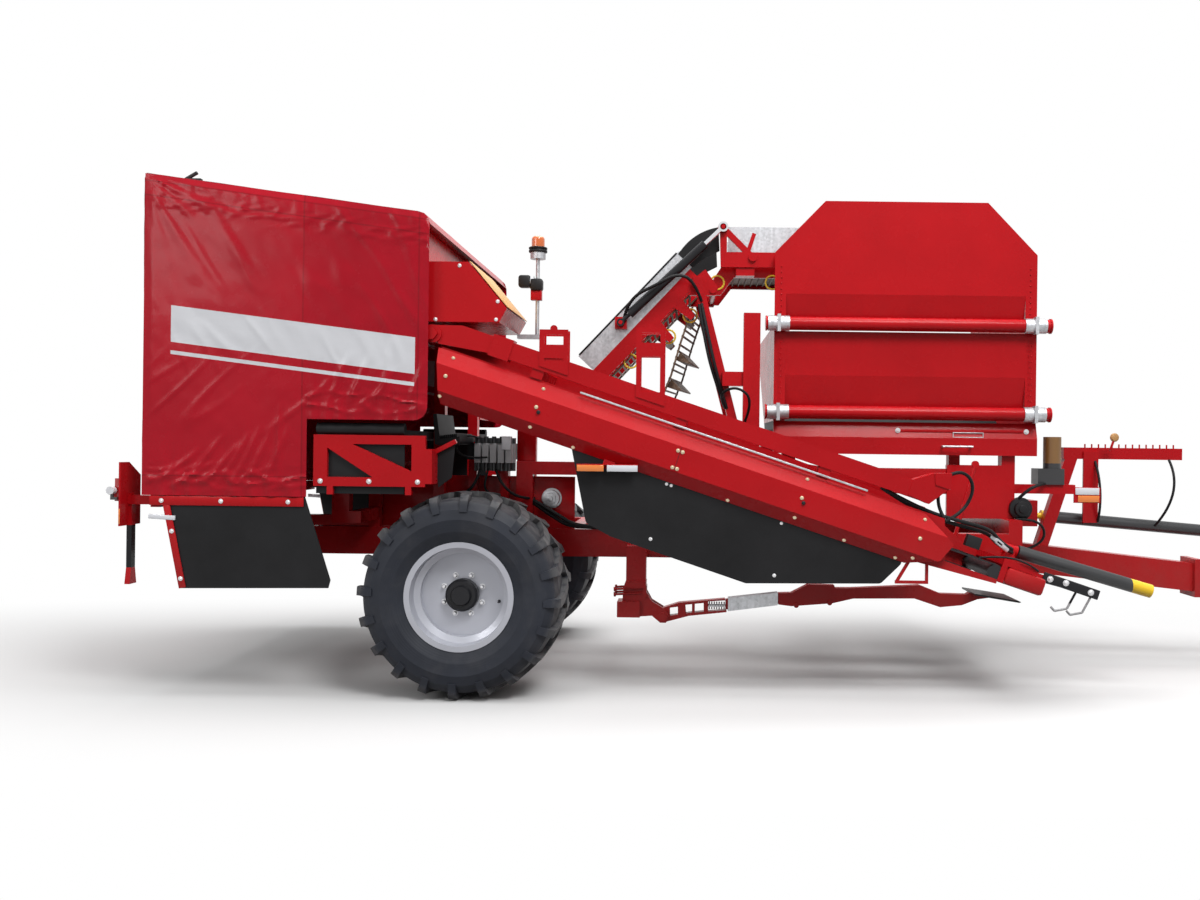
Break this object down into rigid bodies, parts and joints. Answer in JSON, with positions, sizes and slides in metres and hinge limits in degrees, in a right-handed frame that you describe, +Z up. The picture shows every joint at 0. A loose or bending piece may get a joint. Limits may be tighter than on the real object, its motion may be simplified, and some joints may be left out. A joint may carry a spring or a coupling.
{
  "type": "potato harvester",
  "caption": "Trailed side-digging potato harvester with a sloping intake web, rear separating hood, crop elevator, open bunker, wide tyres and a drawbar with jack.",
  "frame": {"origin": "on the ground under the middle of the overall box", "axes": "+X forward along the row, +Y to the machine's left, +Z up"},
  "size_m": [8.8599, 3, 3.55],
  "materials": {
    "red_paint": "gloss",
    "tarp": "gloss",
    "zinc": "satin",
    "rod_web": "satin",
    "black_rubber": "matte",
    "tyre": "matte",
    "rim_silver": "satin",
    "black_paint": "satin",
    "chrome": "polished",
    "amber": "gloss",
    "lamp_red": "gloss",
    "black_plastic": "matte"
  },
  "bodies": {
    "chassis": {"axle": "red_paint", "beacon": "amber", "beacon_pole": "zinc", "bearers": "red_paint", "bunker_beams": "red_paint", "bunker_clamps": "zinc", "bunker_end_walls": "red_paint", "bunker_floor": "black_rubber", "bunker_hinge_tubes": "red_paint", "bunker_posts": "red_paint", "bunker_right_lower": "red_paint", "bunker_right_upper": "red_paint", "chassis_rails": "red_paint", "conveyor_belts": "black_rubber", "cross_beams": "red_paint", "drawbar_beam": "red_paint", "drawbar_head": "red_paint", "elevator_panels": "zinc", "elevator_rails": "red_paint", "elevator_web": "rod_web", "frame_posts": "red_paint", "hood_bows": "red_paint", "hood_front_panel": "red_paint", "hood_roof": "tarp", "hood_sides": "tarp", "hose_rail": "red_paint", "intake_pivot": "red_paint", "knee_covers": "black_rubber", "pto_shaft": "black_plastic", "rear_conveyor_frame": "red_paint", "rear_flaps": "black_rubber", "rear_lamp_boards": "red_paint", "rear_lamps": "lamp_red", "share_arm_post": "red_paint", "upper_beams": "red_paint", "valve_block": "black_paint"},
    "intake": {"intake_boom": "red_paint", "intake_guard": "red_paint", "intake_walls": "red_paint", "intake_ties": "red_paint", "intake_web": "rod_web", "rubber_skirt": "black_rubber", "nose_hood": "red_paint"},
    "haulm_roller": {"haulm_roller": "black_paint"},
    "share_arm": {"share_arm": "red_paint", "share_sleeve": "zinc", "share_blade": "black_paint"},
    "elevator_head": {"head_frame": "red_paint", "head_panels": "zinc", "head_web": "rod_web"},
    "cylinder_barrel": {"cylinder_barrel": "black_paint"},
    "cylinder_rod": {"cylinder_rod": "chrome"},
    "jack_leg": {"jack_leg": "zinc"},
    "right_wheel": {"right_rim": "rim_silver", "right_hub": "black_paint", "right_tyre": "tyre"},
    "left_wheel": {"left_rim": "rim_silver", "left_hub": "black_paint", "left_tyre": "tyre"}
  },
  "joints": [
    {"name": "right_wheel_spin", "type": "hinge", "parent": "chassis", "child": "right_wheel", "pos_m": [-2.12, -1.15, 0.6865], "axis": [0, 1, 0], "continuous": true},
    {"name": "left_wheel_spin", "type": "hinge", "parent": "chassis", "child": "left_wheel", "pos_m": [-2.12, 1.15, 0.6865], "axis": [0, 1, 0], "continuous": true},
    {"name": "intake_lift", "type": "hinge", "parent": "chassis", "child": "intake", "pos_m": [-2.32, -1.05, 2.42], "axis": [0, 1, 0], "range_deg": [0, 7]},
    {"name": "haulm_roller_spin", "type": "hinge", "parent": "intake", "child": "haulm_roller", "pos_m": [1.68682, -1, 0.98683], "axis": [0.962, 0, -0.2729], "continuous": true},
    {"name": "share_arm_swing", "type": "hinge", "parent": "chassis", "child": "share_arm", "pos_m": [-0.791, -0.9, 0.495], "axis": [0, 1, 0], "range_deg": [0, 11.9]},
    {"name": "head_tilt", "type": "hinge", "parent": "chassis", "child": "elevator_head", "pos_m": [-0.451, 0.06, 2.891], "axis": [0, 1, 0], "range_deg": [0, 25]},
    {"name": "barrel_swing", "type": "hinge", "parent": "chassis", "child": "cylinder_barrel", "pos_m": [-1.147, -0.4, 2.624], "axis": [0, 1, 0], "range_deg": [0, 9.6]},
    {"name": "rod_slide", "type": "slide", "parent": "cylinder_barrel", "child": "cylinder_rod", "axis": [0.7234, 0, 0.6904], "range_m": [0, 0.1086]},
    {"name": "jack_slide", "type": "slide", "parent": "chassis", "child": "jack_leg", "axis": [0, 0, 1], "range_m": [0, 0.32]}
  ],
  "couplings": [
    {"joint": "share_arm_swing", "follows": "intake_lift", "ratio": 1.7},
    {"joint": "barrel_swing", "follows": "head_tilt", "ratio": 0.364},
    {"joint": "rod_slide", "follows": "head_tilt", "m_per_rad": 0.242}
  ]
}
